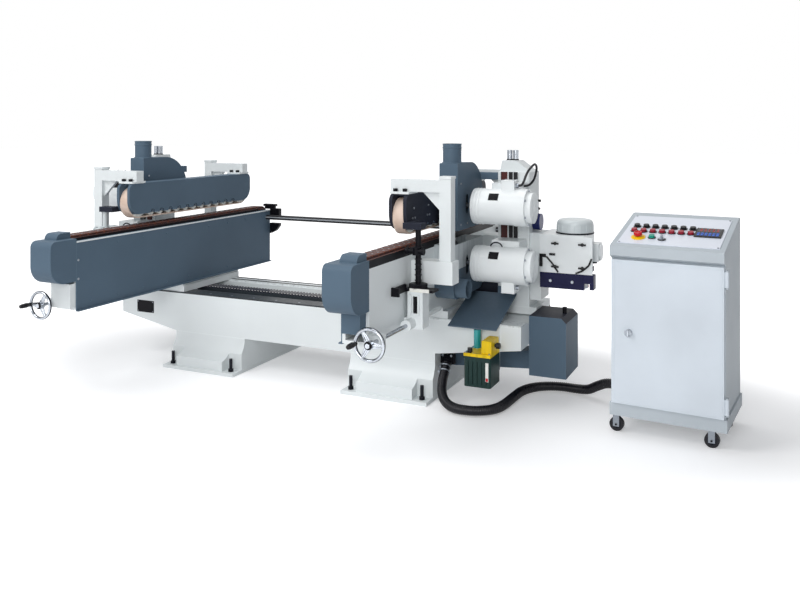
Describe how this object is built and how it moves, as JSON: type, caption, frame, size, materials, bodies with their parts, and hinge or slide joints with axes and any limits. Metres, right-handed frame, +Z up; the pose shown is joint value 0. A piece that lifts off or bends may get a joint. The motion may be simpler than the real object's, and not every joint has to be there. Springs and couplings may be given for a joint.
{
  "type": "double-end tenoning machine",
  "caption": "Double-end tenoning machine: cross bed on pedestals, chain conveyors with pressure beams, motor-driven tenon heads with dust hoods, handwheels and a control cabinet on casters.",
  "frame": {"origin": "centre of the right pedestal's foot, on the floor", "axes": "+X along the cross bed to the right, +Y in the feed direction, away from the handwheels, +Z up"},
  "size_m": [3.8683, 2.069, 1.394],
  "materials": {
    "white_paint": "off-white semi-gloss paint on castings",
    "slate_paint": "slate blue-grey semi-gloss paint on sheet metal",
    "dark_steel": "blackened ground steel",
    "bright_steel": "bright machined steel",
    "tool_steel": "ground tool steel",
    "chain_pad": "dark red-brown pads with worn edges",
    "belt_rubber": "cream pressure belt",
    "roller_plastic": "white rollers",
    "hose_plastic": "black ribbed conduit",
    "pump_paint": "dark green enamel",
    "handwheel_chrome": "polished plating",
    "cabinet_paint": "light blue-grey textured paint",
    "panel_paint": "light matt panel",
    "button_plastic": "black push buttons",
    "stop_plastic": "red mushroom head",
    "caster_rubber": "black caster tread"
  },
  "bodies": {
    "base": {"bed": "white_paint", "left_pedestal": "white_paint", "right_pedestal": "white_paint", "bed_rails": "dark_steel", "levelling_bolts": "bright_steel", "hose": "hose_plastic", "hose_fittings": "dark_steel", "oil_pump": "pump_paint", "waste_box": "slate_paint", "right_frame": "white_paint", "right_side_panel": "slate_paint", "right_end_cover": "slate_paint", "right_feed_chain": "chain_pad", "right_lift_gearbox": "white_paint", "right_column": "white_paint", "right_dust_hood": "slate_paint", "right_chip_chute": "slate_paint", "cabinet_body": "cabinet_paint", "control_panel": "panel_paint", "rear_caster_forks": "bright_steel"},
    "left_carriage": {"left_frame": "white_paint", "left_side_panel": "slate_paint", "left_end_cover": "slate_paint", "left_feed_chain": "chain_pad", "left_column": "white_paint", "left_dust_hood": "slate_paint"},
    "lead_screw": {"lead_screw": "bright_steel"},
    "feed_shaft": {"feed_shaft": "dark_steel"},
    "right_pressure": {"right_gantries": "white_paint", "right_pressure_beam": "slate_paint", "right_pressure_belt": "belt_rubber", "right_pressure_rollers": "roller_plastic", "right_lift_post": "dark_steel"},
    "left_pressure": {"left_gantries": "white_paint", "left_pressure_beam": "slate_paint", "left_pressure_belt": "belt_rubber", "left_pressure_rollers": "roller_plastic", "left_lift_post": "dark_steel"},
    "right_handwheel": {"right_handwheel": "handwheel_chrome"},
    "left_handwheel": {"left_handwheel": "handwheel_chrome"},
    "right_side_head": {"right_side_head": "white_paint"},
    "right_side_cutter": {"right_side_cutter": "tool_steel"},
    "cabinet_door": {"cabinet_door": "cabinet_paint"},
    "door_lock": {"door_lock": "handwheel_chrome"},
    "push_buttons": {"push_buttons": "button_plastic"},
    "emergency_stop": {"emergency_stop": "stop_plastic"},
    "selector_switch": {"selector_switch": "bright_steel"},
    "left_caster_fork": {"left_caster_fork": "bright_steel"},
    "right_caster_fork": {"right_caster_fork": "bright_steel"},
    "left_caster_wheel": {"left_caster_wheel": "caster_rubber"},
    "right_caster_wheel": {"right_caster_wheel": "caster_rubber"},
    "rear_caster_wheels": {"rear_caster_wheels": "caster_rubber"},
    "right_upper_motor": {"right_upper_motor": "white_paint"},
    "right_upper_cutter": {"right_upper_cutter": "tool_steel"},
    "right_lower_motor": {"right_lower_motor": "white_paint"},
    "right_lower_cutter": {"right_lower_cutter": "tool_steel"},
    "left_upper_motor": {"left_upper_motor": "white_paint"},
    "left_upper_cutter": {"left_upper_cutter": "tool_steel"},
    "left_lower_motor": {"left_lower_motor": "white_paint"},
    "left_lower_cutter": {"left_lower_cutter": "tool_steel"}
  },
  "joints": [
    {"name": "carriage_slide", "type": "slide", "parent": "base", "child": "left_carriage", "axis": [1, 0, 0], "range_m": [0, 0.9]},
    {"name": "lead_screw_turn", "type": "hinge", "parent": "base", "child": "lead_screw", "pos_m": [-0.9, -0.11, 0.408], "axis": [1, 0, 0], "range_deg": [0, 16200]},
    {"name": "feed_shaft_spin", "type": "hinge", "parent": "base", "child": "feed_shaft", "pos_m": [-0.6, 0.64, 0.823], "axis": [1, 0, 0], "continuous": true},
    {"name": "right_pressure_lift", "type": "slide", "parent": "base", "child": "right_pressure", "axis": [0, 0, 1], "range_m": [0, 0.06]},
    {"name": "left_pressure_lift", "type": "slide", "parent": "left_carriage", "child": "left_pressure", "axis": [0, 0, 1], "range_m": [0, 0.06]},
    {"name": "right_handwheel_turn", "type": "hinge", "parent": "base", "child": "right_handwheel", "pos_m": [0.338, -1.25, 0.531], "axis": [0, 1, 0], "range_deg": [0, 2700]},
    {"name": "left_handwheel_turn", "type": "hinge", "parent": "left_carriage", "child": "left_handwheel", "pos_m": [-1.628, -1.25, 0.531], "axis": [0, 1, 0], "range_deg": [0, 2700]},
    {"name": "right_upper_head_slide", "type": "slide", "parent": "base", "child": "right_upper_motor", "axis": [0, 0, 1], "range_m": [-0.02, 0.04]},
    {"name": "right_upper_cutter_spin", "type": "hinge", "parent": "right_upper_motor", "child": "right_upper_cutter", "pos_m": [0.45, -0.2, 1.055], "axis": [1, 0, 0], "continuous": true},
    {"name": "right_lower_head_slide", "type": "slide", "parent": "base", "child": "right_lower_motor", "axis": [0, 0, 1], "range_m": [-0.04, 0.02]},
    {"name": "right_lower_cutter_spin", "type": "hinge", "parent": "right_lower_motor", "child": "right_lower_cutter", "pos_m": [0.45, -0.2, 0.744], "axis": [1, 0, 0], "continuous": true},
    {"name": "left_upper_head_slide", "type": "slide", "parent": "left_carriage", "child": "left_upper_motor", "axis": [0, 0, 1], "range_m": [-0.02, 0.04]},
    {"name": "left_upper_cutter_spin", "type": "hinge", "parent": "left_upper_motor", "child": "left_upper_cutter", "pos_m": [-1.74, -0.34, 1.055], "axis": [1, 0, 0], "continuous": true},
    {"name": "left_lower_head_slide", "type": "slide", "parent": "left_carriage", "child": "left_lower_motor", "axis": [0, 0, 1], "range_m": [-0.04, 0.02]},
    {"name": "left_lower_cutter_spin", "type": "hinge", "parent": "left_lower_motor", "child": "left_lower_cutter", "pos_m": [-1.74, -0.34, 0.744], "axis": [1, 0, 0], "continuous": true},
    {"name": "side_head_slide", "type": "slide", "parent": "base", "child": "right_side_head", "axis": [0, 0, 1], "range_m": [-0.03, 0.03]},
    {"name": "side_cutter_spin", "type": "hinge", "parent": "right_side_head", "child": "right_side_cutter", "pos_m": [0.9253, 0.13, 0.65], "axis": [0, 0, 1], "continuous": true},
    {"name": "cabinet_door_hinge", "type": "hinge", "parent": "base", "child": "cabinet_door", "pos_m": [1.75457, -0.44673, 0.5], "axis": [0, 0, 1], "range_deg": [0, 110]},
    {"name": "door_lock_turn", "type": "hinge", "parent": "cabinet_door", "child": "door_lock", "pos_m": [1.31075, -0.41392, 0.5005], "axis": [0.0872, 0.9962, 0], "range_deg": [0, 90]},
    {"name": "push_button_press", "type": "slide", "parent": "base", "child": "push_buttons", "axis": [-0.0215, -0.2461, 0.969], "range_m": [-0.004, 0], "stiffness_N_per_m": 2500},
    {"name": "emergency_stop_press", "type": "slide", "parent": "base", "child": "emergency_stop", "axis": [-0.0215, -0.2461, 0.969], "range_m": [-0.005, 0], "stiffness_N_per_m": 2500},
    {"name": "selector_turn", "type": "hinge", "parent": "base", "child": "selector_switch", "pos_m": [1.45296, -0.3488, 0.95063], "axis": [-0.0215, -0.2461, 0.969], "range_deg": [-45, 45]},
    {"name": "left_caster_swivel", "type": "hinge", "parent": "base", "child": "left_caster_fork", "pos_m": [1.26807, -0.35096, 0.09], "axis": [0, 0, 1], "continuous": true},
    {"name": "left_caster_roll", "type": "hinge", "parent": "left_caster_fork", "child": "left_caster_wheel", "pos_m": [1.24217, -0.3487, 0.034], "axis": [0.0872, 0.9962, 0], "continuous": true},
    {"name": "right_caster_swivel", "type": "hinge", "parent": "base", "child": "right_caster_fork", "pos_m": [1.71038, -0.38966, 0.09], "axis": [0, 0, 1], "continuous": true},
    {"name": "right_caster_roll", "type": "hinge", "parent": "right_caster_fork", "child": "right_caster_wheel", "pos_m": [1.68448, -0.38739, 0.034], "axis": [0.0872, 0.9962, 0], "continuous": true},
    {"name": "rear_caster_roll", "type": "hinge", "parent": "base", "child": "rear_caster_wheels", "pos_m": [1.51851, -0.03559, 0.034], "axis": [0.9962, -0.0872, 0], "continuous": true}
  ],
  "couplings": [
    {"joint": "lead_screw_turn", "follows": "carriage_slide", "rad_per_m": 314.16},
    {"joint": "right_handwheel_turn", "follows": "right_pressure_lift", "rad_per_m": 785.4},
    {"joint": "left_handwheel_turn", "follows": "left_pressure_lift", "rad_per_m": 785.4}
  ]
}
